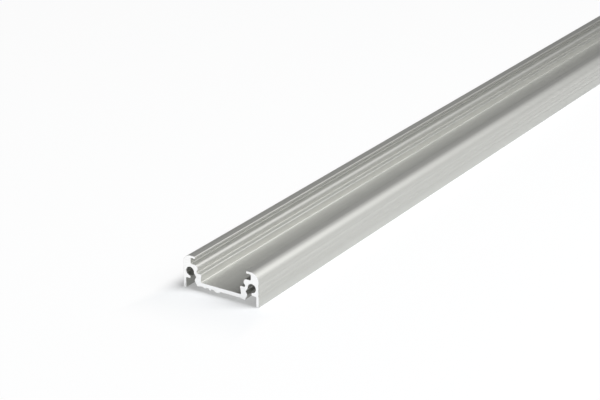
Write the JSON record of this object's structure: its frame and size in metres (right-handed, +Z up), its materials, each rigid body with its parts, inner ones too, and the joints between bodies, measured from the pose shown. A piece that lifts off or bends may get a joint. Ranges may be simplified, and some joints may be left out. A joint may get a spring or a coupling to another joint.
{
  "type": "led strip profile",
  "caption": "Straight extruded aluminium bar with a tray for a flexible light strip, inward lips for a snap-in cover, screw ports in both sides and two thin legs.",
  "frame": {"origin": "middle of the bar's length and width, on the plane that the legs stand on", "axes": "+Y along the bar, +X across it, +Z up out of the open side"},
  "size_m": [0.02, 0.5, 0.008],
  "materials": {
    "anodised_aluminium": "satin clear anodised, fine lines along the bar, bright sawn ends"
  },
  "bodies": {
    "root": {"profile": "anodised_aluminium"}
  },
  "joints": []
}
